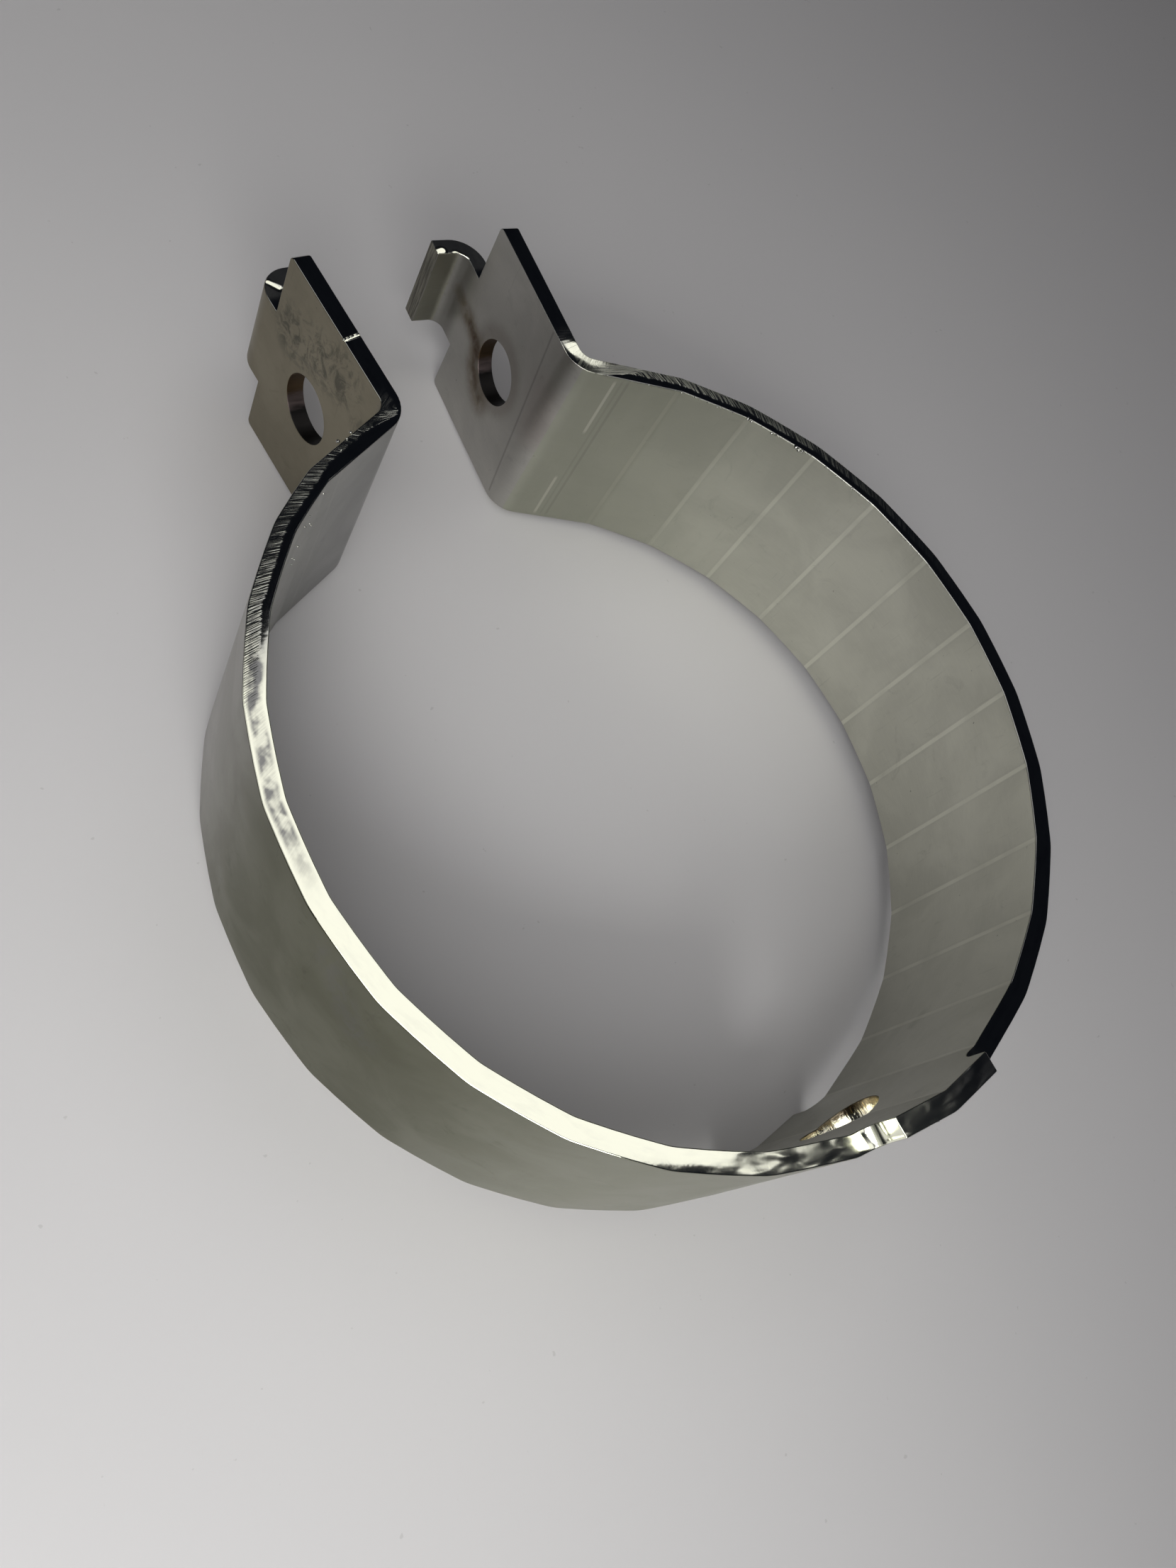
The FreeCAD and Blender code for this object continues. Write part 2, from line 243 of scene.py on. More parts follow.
def finished(tree, shader, shade, rough, lift):
    put(tree, shader.inputs["Base Color"], shade)
    put(tree, shader.inputs["Metallic"], 1.0)
    put(tree, shader.inputs["Roughness"], rough)
    put(tree, shader.inputs["Normal"], lift)


# the folded strap: a merged copy of the CAD solid, its sheet edges broken a little
strap = {
    "pressStep": 12.4,  # degrees from one press line to the next
    "lastFlat": 12,  # on each side, counted from 0 at the pad's middle
    "flatRadius": 29.9,
    "middleRadius": 30.5,  # in the middle of the sheet
    "earsFrom": (28.0, 29.5),
    # shares of x and y, and a distance, that give the place across the sheet on each ear
    "rightEarFace": (0.9960, -0.0898, -4.45),
    "leftEarFace": (-0.9991, -0.0424, -7.2),
    "earAlong": 52.0,  # added to y, so that the noise runs on from the ring
    # what tells one kind of face from another, in mm
    "boltHole": (37.2, -0.25, 2.99),  # y, z and radius with the broken edge
    "boltFrom": 33,
    "mountRadius": 3.36,
    "mountTo": -26,
    "earFrom": 29.5,
    "earWide": 12,
    "tabFrom": 43.9,
    "tabHigh": 4.5,
    "besideTab": 4.3,
    "tabEndFrom": 45.5,
    "tabEndReach": 6.4,
    "padHalf": 4.9,
    "padTo": -25,
    "bowCuts": (0.14, 0.38, 0.62, 0.86),  # shares of a flat
    "bow": 0.42,  # 0 leaves the flats flat, 1 makes a round ring
    "bowFrom": (13, 24),  # degrees over which the bow grows, and fades again
    "bowTo": (141, 148.5),
    "meanRadius": 1.00195,  # of the round ring, times a flat's
    "edgeBreak": 0.09,
    "edgeSteps": 2,
    "sharpAngle": 38,
    "flatAngle": 0.4,
    "outsideRoll": 2.5,  # how far the outside looks rolled, not folded
    "rollTo": 24,  # y, where the ring ends for this
    "rimCrown": 0.06,  # how far the rim looks rounded near its outer edge
    "crownFrom": 31.15,
}
# the order of the material slots
faceKinds = ("inside", "outside", "cutEdge", "holeWall", "rightEar", "leftEar", "tab", "tabEnd")


def stripPlace(tree, spot):
    # where a point lies on the strip: degrees round, mm along it, mm out from its inner face,
    # and mm off the nearest press line
    step = strap["pressStep"]
    x, y, z = splitXyz(tree, spot)
    turn = sums(tree, "ARCTAN2", x, times(tree, y, -1.0))
    degrees = times(tree, sums(tree, "ABSOLUTE", turn), degreesInRadian)
    flat = sums(tree, "FLOOR", sums(tree, "DIVIDE", degrees, step))
    flat = sums(tree, "MINIMUM", flat, strap["lastFlat"])
    middle = times(tree, plus(tree, flat, 0.5), step)
    lean = times(tree, minus(tree, degrees, middle), radiansInDegree)
    flatFar = times(tree, howFar(tree, x, y), sums(tree, "COSINE", lean))
    ringOut = minus(tree, flatFar, strap["flatRadius"])
    offLine = sums(tree, "PINGPONG", degrees, step / 2)
    ears = []
    for shareX, shareY, far in (strap["leftEarFace"], strap["rightEarFace"]):
        ears.append(plus(tree, times(tree, x, shareX), times(tree, y, shareY), far))
    earOut = mixed(tree, fade(tree, x, -0.5, 0.5), *ears)
    earAlong = times(tree, plus(tree, y, strap["earAlong"]), sums(tree, "SIGN", x))
    onEar = fade(tree, y, *strap["earsFrom"])
    return {
        "x": x,
        "y": y,
        "z": z,
        "turn": times(tree, turn, degreesInRadian),
        "along": mixed(tree, onEar, times(tree, turn, strap["middleRadius"]), earAlong),
        "out": mixed(tree, onEar, ringOut, earOut),
        "press": times(tree, offLine, radiansInDegree * strap["middleRadius"]),
    }


def faceKind(face, s):
    n, c = face.normal, face.center / mm
    boltY, boltZ, boltRadius = s["boltHole"]
    inBolt = c.y > s["boltFrom"] and math.hypot(c.y - boltY, c.z - boltZ) < boltRadius
    inMount = c.y < s["mountTo"] and math.hypot(c.x, c.z) < s["mountRadius"]
    if (inBolt and abs(n.x) < 0.8) or (inMount and abs(n.y) < 0.8):
        return "holeWall"
    if abs(n.z) > 0.75:
        return "cutEdge"
    if c.y > s["tabEndFrom"] and abs(c.x) < s["tabEndReach"] and abs(n.x) > 0.9:
        return "tabEnd"
    if c.y > s["tabFrom"] and abs(c.z) < s["tabHigh"] and abs(n.y) > 0.9:
        return "tab"
    if c.y > s["earFrom"] and abs(c.x) < s["earWide"]:
        if n.y > 0.8 and abs(c.z) > s["besideTab"]:  # the ear's end edge
            return "cutEdge"
        return "rightEar" if c.x > 0 else "leftEar"
    if c.y < s["padTo"] and abs(c.x) < s["padHalf"] and abs(n.x) > 0.8:  # the pad's short sides
        return "cutEdge"
    return "inside" if n.x * c.x + n.y * c.y < 0 else "outside"


def settleNormals(sheet, s):
    # flats stay flat, folds and broken edges turn smoothly, and the outside rolls on
    mesh = sheet.data
    leaning = [Vector() for _ in mesh.vertices]
    for face in mesh.polygons:
        for corner in face.vertices:
            leaning[corner] += face.normal * (face.area * 1e6) ** 2
    for point, normal in zip(mesh.vertices, leaning):
        normal.normalize()
        away = Vector((point.co.x, point.co.y, 0)).normalized()
        far = math.hypot(point.co.x, point.co.y)
        onRing = point.co.y < s["rollTo"] * mm
        if onRing and normal.dot(away) > 0.9 and abs(normal.z) < 0.3:
            normal += away * s["outsideRoll"]
        if onRing and normal.z > 0.9 and far > s["crownFrom"] * mm:
            normal += away * s["rimCrown"]
        normal.normalize()
    mesh.normals_split_custom_set([leaning[loop.vertex_index] for loop in mesh.loops])


def cutFlats(mesh, s):
    # cuts across the flats between the press lines, one half of the ring at a time
    bpy.ops.mesh.select_mode(type="FACE")
    for side in (1, -1):
        bpy.ops.mesh.select_all(action="DESELECT")
        bpy.ops.object.mode_set(mode="OBJECT")
        for face in mesh.polygons:
            face.select = face.center.x * side < 0
        bpy.ops.object.mode_set(mode="EDIT")
        bpy.ops.mesh.hide(unselected=False)
        for flat in range(1, s["lastFlat"]):
            for share in s["bowCuts"]:
                turn = side * math.radians((flat + share) * s["pressStep"])
                across = (math.cos(turn), math.sin(turn), 0)
                bpy.ops.mesh.select_all(action="SELECT")
                bpy.ops.mesh.bisect(plane_co=(0, 0, 0), plane_no=across)
        bpy.ops.mesh.reveal(select=False)


def bowFlats(mesh, s):
    # the flats bow out a little, as the real sheet does, less near the pad and the ears
    (lowStart, lowEnd), (highStart, highEnd) = s["bowFrom"], s["bowTo"]
    for point in mesh.vertices:
        x, y = point.co.x, point.co.y
        degrees = abs(math.degrees(math.atan2(x, -y)))
        flat = min(math.floor(degrees / s["pressStep"]), s["lastFlat"])
        lean = math.radians(degrees - (flat + 0.5) * s["pressStep"])
        rise = min(1, max(0, (degrees - lowStart) / (lowEnd - lowStart)))
        fall = min(1, max(0, (highEnd - degrees) / (highEnd - highStart)))
        far = math.hypot(x, y)
        bowed = far * math.cos(lean) * s["meanRadius"]
        grow = 1 + rise * fall * s["bow"] * (bowed / far - 1)
        point.co.x, point.co.y = x * grow, y * grow


def makeStrap(s, finishes):
    sheet = duplicateOf(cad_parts["strap_clamp"])
    sheet.name = sheet.data.name = "strapSheet"
    for key in list(sheet.keys()):
        del sheet[key]
    bpy.ops.object.mode_set(mode="EDIT")
    bpy.ops.mesh.select_all(action="SELECT")
    bpy.ops.mesh.customdata_custom_splitnormals_clear()
    bpy.ops.mesh.remove_doubles(threshold=0.000002)
    bpy.ops.mesh.dissolve_limited(angle_limit=math.radians(s["flatAngle"]))
    cutFlats(sheet.data, s)
    bpy.ops.object.mode_set(mode="OBJECT")
    bowFlats(sheet.data, s)
    bpy.ops.object.mode_set(mode="EDIT")
    bpy.ops.mesh.select_mode(type="EDGE")
    bpy.ops.mesh.select_all(action="DESELECT")
    bpy.ops.mesh.edges_select_sharp(sharpness=math.radians(s["sharpAngle"]))
    bpy.ops.mesh.bevel(
        offset=s["edgeBreak"] * mm, segments=s["edgeSteps"], affect="EDGES",
        clamp_overlap=True, loop_slide=False,
    )
    bpy.ops.object.mode_set(mode="OBJECT")
    sheet.data.materials.clear()
    for kind in faceKinds:
        sheet.data.materials.append(finishes[kind])
    for face in sheet.data.polygons:
        face.material_index = faceKinds.index(faceKind(face, s))
    bpy.ops.object.shade_smooth()
    settleNormals(sheet, s)
    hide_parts("strap_clamp")
    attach(sheet, "root")
    print("strap made,", len(sheet.data.polygons), "faces")


# satin rolled sheet: cloudy grey-green steel with rolling grain, smudges and fine scratches.
# Each noise on the strip has its shares along, out and up, then scale, detail, roughness, twist.
satin = {
    "inside": (0.60, 0.60, 0.52, 1),
    # the outside is painted much darker than the inside: painted shade for the shaded floor that
    # it reflects
    "outside": (0.10, 0.102, 0.055, 1),
    "rightEar": (0.44, 0.43, 0.40, 1),
    "leftEar": (0.26, 0.235, 0.17, 1),
    # the tab is darker than the ear: painted shade that damps the highlight on its fold
    "tab": (0.33, 0.325, 0.27, 1),
    "tabEnd": (0.30, 0.29, 0.235, 1),
    "speck": (0.09, 0.09, 0.08, 1),
    "roughness": 0.38,
    "tabRoughness": 0.42,
    "tabEndRoughness": 0.34,
    "rolling": ((0.5, 0.5, 6.0), 1.0, 4.0, 0.6),
    "scratches": ((5.0, 1.0, 0.3), 1.0, 2.0, 0.5, 0.8),
    "clouds": (0.14, 4.0, 0.6, 0.5),
    "smudges": (0.33, 5.0, 0.65, 1.2),
    "specks": (2.1, 2.0, 0.5),
}


def satinFinish(name, colour, roughness):
    mat, tree, shader = newMaterial(name)
    spot = inMillimetres(tree)
    at = stripPlace(tree, spot)
    at["strip"] = (at["along"], at["out"], at["z"])
    rolled = grain(tree, at["strip"], *satin["rolling"])
    clouds = speckle(tree, spot, *satin["clouds"])
    smudge = fade(tree, speckle(tree, spot, *satin["smudges"]), 0.58, 0.76)
    scratch = fade(tree, grain(tree, at["strip"], *satin["scratches"]), 0.67, 0.72)
    specks = fade(tree, speckle(tree, spot, *satin["specks"]), 0.755, 0.79)
    rolledTone = times(tree, fade(tree, rolled, 0.4, 0.7), 0.12)
    shade = tint(tree, fade(tree, clouds, 0.35, 0.65, 0.0, 0.42), colour, scaled(colour, 0.76))
    shade = tint(tree, times(tree, smudge, 0.40), shade, scaled(colour, 0.62))
    shade = tint(tree, rolledTone, shade, scaled(colour, 1.2))
    shade = tint(tree, times(tree, scratch, 0.22), shade, scaled(colour, 0.6))
    shade = tint(tree, times(tree, specks, 0.6), shade, satin["speck"])
    rough = fade(tree, clouds, 0.3, 0.7, roughness - 0.04, roughness + 0.05)
    rough = plus(tree, rough, times(tree, smudge, 0.06))
    lift = relief(tree, rolled, 0.25, 0.010)
    lift = relief(tree, scratch, 0.3, 0.008, lift)
    finished(tree, shader, shade, rough, lift)
    at["rough"] = rough
    return mat, tree, shader, shade, at


def repaint(tree, shader, shade):
    put(tree, shader.inputs["Base Color"], shade)


def paintLightAndShadeRound(tree, shade, turn, lightAndShade):
    # painted light and shade on parts of the ring: degrees and amounts from and to, colour
    for low, high, first, last, colour in lightAndShade:
        shade = tint(tree, fade(tree, turn, low, high, first, last), shade, colour)
    return shade


# the inside: narrow bright press lines, with painted shade that darkens it towards the ears and
# the pad, most on the left side
insideMarks = {
    "pressLine": (0.13, 0.24),
    "besideLine": (0.24, 0.5),
    "linesTo": (26.0, 26.5),
    "wear": ((1.0, 0.0, 0.4), 0.6, 2.0),
    "lightAndShade": (
        (95.0, 160.0, 0.0, 0.75, (0.34, 0.35, 0.28, 1)),
        (20.0, 75.0, 0.42, 0.0, (0.21, 0.21, 0.182, 1)),
        (-165.0, -110.0, 0.85, 0.0, (0.27, 0.27, 0.276, 1)),
    ),
    # lines beside the right ear's fold: degrees round, z from and to, half width, strength, tone
    "foldMarks": (
        (159.3, 2.6, 9.0, 0.32, 0.45, 1.3),
        (159.3, -9.0, -3.6, 0.32, 0.45, 1.3),
        (157.2, -9.0, 9.3, 0.30, 0.32, 0.4),
        (158.2, -9.0, 9.3, 0.25, 0.25, 0.45),
    ),
    "foldFrom": ((8.0, 9.0), (24.0, 25.0)),  # x and y
    "foldEnds": 0.3,
}


def insideFinish(name, m):
    colour = satin["inside"]
    mat, tree, shader, shade, at = satinFinish(name, colour, satin["roughness"])
    line = fade(tree, at["press"], *m["pressLine"], 1.0, 0.0)
    line = times(tree, line, fade(tree, at["y"], *m["linesTo"], 1.0, 0.0))
    worn = grain(tree, at["strip"], *m["wear"])
    line = times(tree, line, fade(tree, worn, 0.3, 0.6, 0.45, 1.0))
    shade = tint(tree, times(tree, line, 0.6), shade, scaled(colour, 1.35))
    beside = fade(tree, at["press"], *m["besideLine"], 1.0, 0.0)
    beside = times(tree, beside, minus(tree, 1.0, line))
    shade = tint(tree, times(tree, beside, 0.10), shade, scaled(colour, 0.6))
    # painted shade, darker towards the right ear, the pad and the left ear
    shade = paintLightAndShadeRound(tree, shade, at["turn"], m["lightAndShade"])
    fromX, fromY = m["foldFrom"]
    near = times(tree, fade(tree, at["x"], *fromX), fade(tree, at["y"], *fromY))
    soft = m["foldEnds"]
    for turn, low, high, wide, amount, tone in m["foldMarks"]:
        off = sums(tree, "ABSOLUTE", minus(tree, at["turn"], turn))
        mark = times(tree, fade(tree, off, wide * 0.5, wide, 1.0, 0.0), near)
        ends = within(tree, at["z"], (low - soft, low + soft), (high - soft, high + soft))
        shade = tint(tree, times(tree, mark, ends, amount), shade, scaled(colour, tone))
    repaint(tree, shader, shade)
    return mat


# the outside: painted light and shade, darker and greener low on the left where it reflects the
# shaded floor, greyer towards the ear; with a dark rub mark
outsideMarks = {
    "lightAndShade": (
        (-122.0, -92.0, 0.85, 0.0, (0.38, 0.37, 0.35, 1)),
        (-70.0, -32.0, 0.0, 0.85, (0.38, 0.385, 0.31, 1)),
    ),
    "rub": ((-43.0, 7.0), (-39.0, 3.0), 0.3, 2.2),  # mm round and up
    "rubStreaks": ((1.6, 0.0, 1.0), 0.8, 4.0, 0.6, 0.8),
    "rubColour": (0.10, 0.10, 0.08, 1),
    "outerArc": 0.53,  # mm to a degree
}


def outsideFinish(name, m):
    mat, tree, shader, shade, at = satinFinish(name, satin["outside"], satin["roughness"])
    # painted light and shade, lighter towards the ear and the pad
    shade = paintLightAndShadeRound(tree, shade, at["turn"], m["lightAndShade"])
    rub = nearLine(tree, times(tree, at["turn"], m["outerArc"]), at["z"], *m["rub"])
    streak = fade(tree, grain(tree, at["strip"], *m["rubStreaks"]), 0.35, 0.6)
    shade = tint(tree, times(tree, rub, streak, 0.6), shade, m["rubColour"])
    repaint(tree, shader, shade)
    return mat


def tabFinish(name):
    return satinFinish(name, satin["tab"], satin["tabRoughness"])[0]


def tabEndFinish(name):
    # a dark sheared end with fine lines across it
    colour = satin["tabEnd"]
    mat, tree, shader, shade, at = satinFinish(name, colour, satin["tabEndRoughness"])
    lines = grain(tree, (at["x"], at["y"], at["z"]), (0.0, 4.5, 0.35), 1.0, 3.0, 0.6)
    shade = tint(tree, fade(tree, lines, 0.36, 0.64, 0.0, 0.85), shade, scaled(colour, 0.25))
    repaint(tree, shader, shade)
    return mat


# marks on the ears, places in mm as y and z
earMarks = {
    # brown heat stain from the right tab down to the bolt hole and round it
    "stainRoute": (
        (45.2, 0.3), (43.9, 0.0), (42.4, -0.2), (40.7, -0.7), (39.8, -2.6), (38.7, -3.6),
        (37.6, -4.0),
    ),
    "stainWide": 0.2,
    "stainSoft": (1.1, 0.2),  # at the tab, and how much more at each leg
    "coreFromLeg": 2,
    "stainBranch": ((41.0, -0.6), (40.0, -1.2), 0.25, 0.6),
    "stain": (0.17, 0.13, 0.08, 1),
    "stainCore": (0.085, 0.055, 0.035, 1),
    "mottle": (0.9, 4.0, 0.6),
    "haloCentre": (37.2, 0.0),
    "halo": (3.2, 4.6, 0.4, 0.0),
    "haloColour": (0.16, 0.13, 0.10, 1),
    # a haze beside the fold and the line that the folding tool left: line, amount, colour
    "rightLines": (
        (((31.2, 4.2), (30.4, 0.5), 0.3, 2.8), 0.24, (0.36, 0.28, 0.26, 1)),
        (((33.3, 9.2), (31.2, -8.8), 0.03, 0.14), 0.40, (0.14, 0.14, 0.12, 1)),
    ),
    "tabFold": (43.9, 45.2),
    # dark smudges between the left hole and the top edge
    "cluster": ((41.0, 4.0), (34.5, 6.8), 1.0, 2.4),
    "clusterTail": ((33.0, 8.0), (31.4, 5.0), 0.2, 1.4),
    "smudges": (0.75, 8.0, 0.72, 0.8),
    "smudge": (0.075, 0.072, 0.055, 1),
    "leftLines": ((((41.0, 2.6), (36.0, 4.6), 0.02, 0.10), 0.4, (0.13, 0.12, 0.10, 1)),),
}


def drawLines(tree, shade, y, z, lines):
    for line, amount, colour in lines:
        mark = nearLine(tree, y, z, *line)
        shade = tint(tree, times(tree, mark, amount), shade, colour)
    return shade


def rightEarFinish(name, m):
    colour = satin["rightEar"]
    mat, tree, shader, shade, at = satinFinish(name, colour, satin["roughness"])
    y, z = at["y"], at["z"]
    legs = list(zip(m["stainRoute"], m["stainRoute"][1:]))
    stains, cores = [], []
    for number, (a, b) in enumerate(legs):
        soft = m["stainSoft"][0] + m["stainSoft"][1] * number
        stains.append(nearLine(tree, y, z, a, b, m["stainWide"], soft))
        if number >= m["coreFromLeg"]:
            cores.append(nearLine(tree, y, z, a, b, 0.05, 0.55))
    stain = largest(tree, *stains)
    mottle = speckle(tree, joinXyz(tree, 0.0, y, z), *m["mottle"])
    mottle = times(tree, fade(tree, mottle, 0.3, 0.65, 0.5, 1.0), 0.8)
    shade = tint(tree, times(tree, stain, mottle), shade, m["stain"])
    shade = tint(tree, times(tree, largest(tree, *cores), mottle), shade, m["stainCore"])
    haloY, haloZ = m["haloCentre"]
    far = howFar(tree, minus(tree, y, haloY), minus(tree, z, haloZ))
    shade = tint(tree, fade(tree, far, *m["halo"]), shade, m["haloColour"])
    branch = nearLine(tree, y, z, *m["stainBranch"])
    shade = tint(tree, times(tree, branch, mottle), shade, m["stainCore"])
    shade = drawLines(tree, shade, y, z, m["rightLines"])
    onFold = fade(tree, y, *m["tabFold"])
    # painted shade over the tab's fold, damping the highlight that its curve catches
    shade = tint(tree, times(tree, onFold, 0.5), shade, scaled(colour, 0.42))
    repaint(tree, shader, shade)
    rough = plus(tree, at["rough"], times(tree, stain, 0.1), times(tree, onFold, 0.12))
    put(tree, shader.inputs["Roughness"], rough)
    return mat


def leftEarFinish(name, m):
    mat, tree, shader, shade, at = satinFinish(name, satin["leftEar"], satin["roughness"])
    y, z = at["y"], at["z"]
    tail = times(tree, nearLine(tree, y, z, *m["clusterTail"]), 0.6)
    cluster = largest(tree, nearLine(tree, y, z, *m["cluster"]), tail)
    marks = fade(tree, speckle(tree, joinXyz(tree, 0.0, y, z), *m["smudges"]), 0.44, 0.62)
    shade = tint(tree, times(tree, cluster, marks, 0.8), shade, m["smudge"])
    shade = drawLines(tree, shade, y, z, m["leftLines"])
    repaint(tree, shader, shade)
    return mat


# laser-cut sheet edge: glossy inside, and slanting drag lines on the outer part of its thickness
cutEdge = {
    "base": (0.97, 0.98, 0.81, 1),
    # painted shade: the edge's colour where it reflects the dim room
    "dark": (0.34, 0.34, 0.35, 1),
    # soot colour, also laid on as painted shade where the edge is painted dark
    "sootAndShade": (0.22, 0.22, 0.24, 1),
    "darkMiddle": (0.10, 0.10, 0.12, 1),
    "roughness": 0.05,
    "dragRoughness": 0.26,
    "bendRoughness": 0.32,
    "tabRoughness": 0.20,
    "padRoughness": 0.11,
    "lineDepth": 0.022,
    "fanDepth": 0.05,
    "padLump": 0.12,
    "ripple": 0.004,
    "lineSlant": 0.8,
    "lines": ((8.0, 0.7, 0.2), 1.0, 1.0, 0.5, 0.15),
    "band": ((1.3, 0.0, 0.0), 1.0, 3.0, 0.6),
    "darkMiddleGrain": ((0.8, 1.0, 0.0), 1.0, 2.0, 0.5),
    "sooty": ((0.5, 1.5, 0.0), 1.0, 4.0, 0.6),
    "lumps": ((0.5, 1.1, 0.0), 1.0, 0.5, 0.4, 0.4),
    "ringTo": (30.0, 31.5),
    # degrees round of what follows
    "rightLines": (75.0, 135.0),
    "leftLines": (-118.0, -106.0),
    "pad": ((-34.0, -26.0), (10.0, 16.0)),
    "darkMiddleSpan": ((-124.0, -116.0), (-98.0, -86.0)),
    # where the edge is painted dark as shade, in degrees round
    "paintedDarkRight": (-6.0, 6.0),
    "paintedDarkLeft": (-124.0, -112.0),
    "leftShare": 0.42,
    "fan": (12.2, 32.4),  # where the lines of the right ear's fold meet
    "bend": ((8.2, 31.7), (9.4, 30.2), 0.9, 1.6),
    # where the edge leans and shines: from, to, half width and softness in mm, then which way
    # it leans and how much
    "shines": (
        ((8.35, 31.3), (9.3, 30.15), 0.5, 1.05, (-0.70, -0.71), 0.32),
        ((5.7, 46.9), (6.6, 47.1), 0.25, 0.25, (-0.54, -0.84), 0.42),
        ((7.7, 46.6), (8.3, 46.0), 0.22, 0.25, (-0.56, -0.83), 0.42),
        ((-9.9, 46.2), (-9.3, 45.5), 0.1, 0.30, (-0.33, -0.94), 0.36),
        ((-10.25, 35.55), (-8.85, 35.85), 0.12, 0.10, (-0.42, -0.91), 0.36),
    ),
}


def shineOf(tree, x, y, shines):
    # where the edge leans, and the height that makes it lean there
    masks, rises = [], []
    for a, b, wide, soft, toward, lean in shines:
        mask = nearLine(tree, x, y, a, b, wide, soft)
        rise = plus(
            tree, times(tree, minus(tree, x, a[0]), -toward[0] * lean),
            times(tree, minus(tree, y, a[1]), -toward[1] * lean),
        )
        masks.append(mask)
        rises.append(times(tree, rise, mask))
    return largest(tree, *masks), plus(tree, *rises)


def cutEdgeFinish(name, c):
    mat, tree, shader = newMaterial(name)
    spot = inMillimetres(tree)
    at = stripPlace(tree, spot)
    x, y, z, turn, out, along = (at[key] for key in ("x", "y", "z", "turn", "out", "along"))
    strip = (along, out, z)

    # drag lines, on the right side, less on the left, and hardly any round the pad
    slant = minus(tree, along, times(tree, out, c["lineSlant"]))
    lines = grain(tree, (slant, out, z), *c["lines"])
    band = times(tree, grain(tree, strip, *c["band"]), 0.5)
    outer = fade(tree, plus(tree, out, band), 0.74, 1.0)
    onRing = fade(tree, y, *c["ringTo"], 1.0, 0.0)
    right = fade(tree, turn, *c["rightLines"])
    left = times(tree, fade(tree, turn, *c["leftLines"], 1.0, 0.0), c["leftShare"])
    shown = plus(tree, times(tree, largest(tree, right, left), onRing), 0.06)
    drag = times(tree, fade(tree, lines, 0.36, 0.60, 0.3, 1.0), outer, shown)

    # darker in the middle of the sheet on the left, and soot all round, with more of it as
    # painted shade where the edge is painted dark
    middle = sums(tree, "ABSOLUTE", minus(tree, out, 0.75))
    middle = fade(tree, middle, 0.30, 0.62, 1.0, 0.0)
    cloud = fade(tree, grain(tree, strip, *c["darkMiddleGrain"]), 0.35, 0.62)
    cloud = plus(tree, times(tree, cloud, 0.7), times(tree, lines, 0.4))
    darkMiddle = times(tree, within(tree, turn, *c["darkMiddleSpan"]), middle, cloud)
    sootAndShade = fade(tree, grain(tree, strip, *c["sooty"]), 0.45, 0.7)

    shineMask, shineHeight = shineOf(tree, x, y, c["shines"])
    # painted shade: the bright edge darkened over the right half of the ring and round the left
    # ear, where it reflects the dim room, except where it shines and on its drag lines
    paintedDarkLeft = fade(tree, turn, *c["paintedDarkLeft"], 1.0, 0.0)
    paintedDark = largest(tree, fade(tree, turn, *c["paintedDarkRight"]), paintedDarkLeft)
    paintedDark = times(tree, paintedDark, minus(tree, 1.0, largest(tree, shineMask, drag)))
    # painted shade: the soot grows where the edge is painted dark
    sootAndShade = times(tree, sootAndShade, plus(tree, times(tree, paintedDark, 0.3), 0.06))
    shade = tint(tree, times(tree, paintedDark, 0.8), c["base"], c["dark"])
    shade = tint(tree, sootAndShade, shade, c["sootAndShade"])
    shade = tint(tree, sums(tree, "MINIMUM", darkMiddle, 0.85), shade, c["darkMiddle"])

    # lines that fan out over the right ear's fold
    fanTurn = sums(tree, "ARCTAN2", minus(tree, y, c["fan"][1]), minus(tree, x, c["fan"][0]))
    fan = speckle(tree, joinXyz(tree, times(tree, fanTurn, 3.0), 0.0, 0.0), 7.0, 2.0, 0.6)
    onBend = nearLine(tree, x, y, *c["bend"])
    onPad = within(tree, turn, *c["pad"])
    onTab = fade(tree, y, 44.0, 45.0)
    rough = plus(
        tree, times(tree, drag, c["dragRoughness"]), times(tree, onBend, fan, c["bendRoughness"]),
        times(tree, onTab, c["tabRoughness"]), times(tree, onPad, c["padRoughness"]),
        c["roughness"],
    )
    lumps = times(tree, grain(tree, strip, *c["lumps"]), onPad, c["padLump"])
    ripple = times(tree, speckle(tree, spot, 1.1, 2.0, 0.5), c["ripple"])
    lift = relief(tree, plus(tree, lumps, ripple), 1.0, 1.0)
    lift = relief(tree, shineHeight, 1.0, 1.0, lift)
    lift = relief(tree, times(tree, fan, onBend), 1.0, c["fanDepth"], lift)
    lift = relief(tree, times(tree, lines, outer, shown), 1.0, c["lineDepth"], lift)
    finished(tree, shader, shade, rough, lift)
    return mat


# cut hole walls: the bolt holes' brown at the top, then a pinkish painted highlight, then nearly
# black painted shade on the low side, and the mounting hole's straw yellow with scorched edges
holeWall = {
    "brown": (0.095, 0.063, 0.036, 1),
    "pink": (0.21, 0.165, 0.16, 1),
    "dark": (0.03, 0.028, 0.027, 1),
    "straw": (0.97, 0.94, 0.76, 1),
    "scorched": (0.10, 0.07, 0.04, 1),
    "amber": (0.60, 0.46, 0.24, 1),
    "boltRoughness": (0.44, 0.58),
    "mountRoughness": 0.13,
    "across": ((0.7, 3.0, 3.0), 1.0, 3.0, 0.6),
    "through": ((4.0, 0.8, 4.0), 1.0, 3.0, 0.6),
    "upward": (0.72, 0.70),  # of y and z
    "edgeAt": (-30.05, -29.75),
    "lowEnd": (-2.2, -1.4),
}


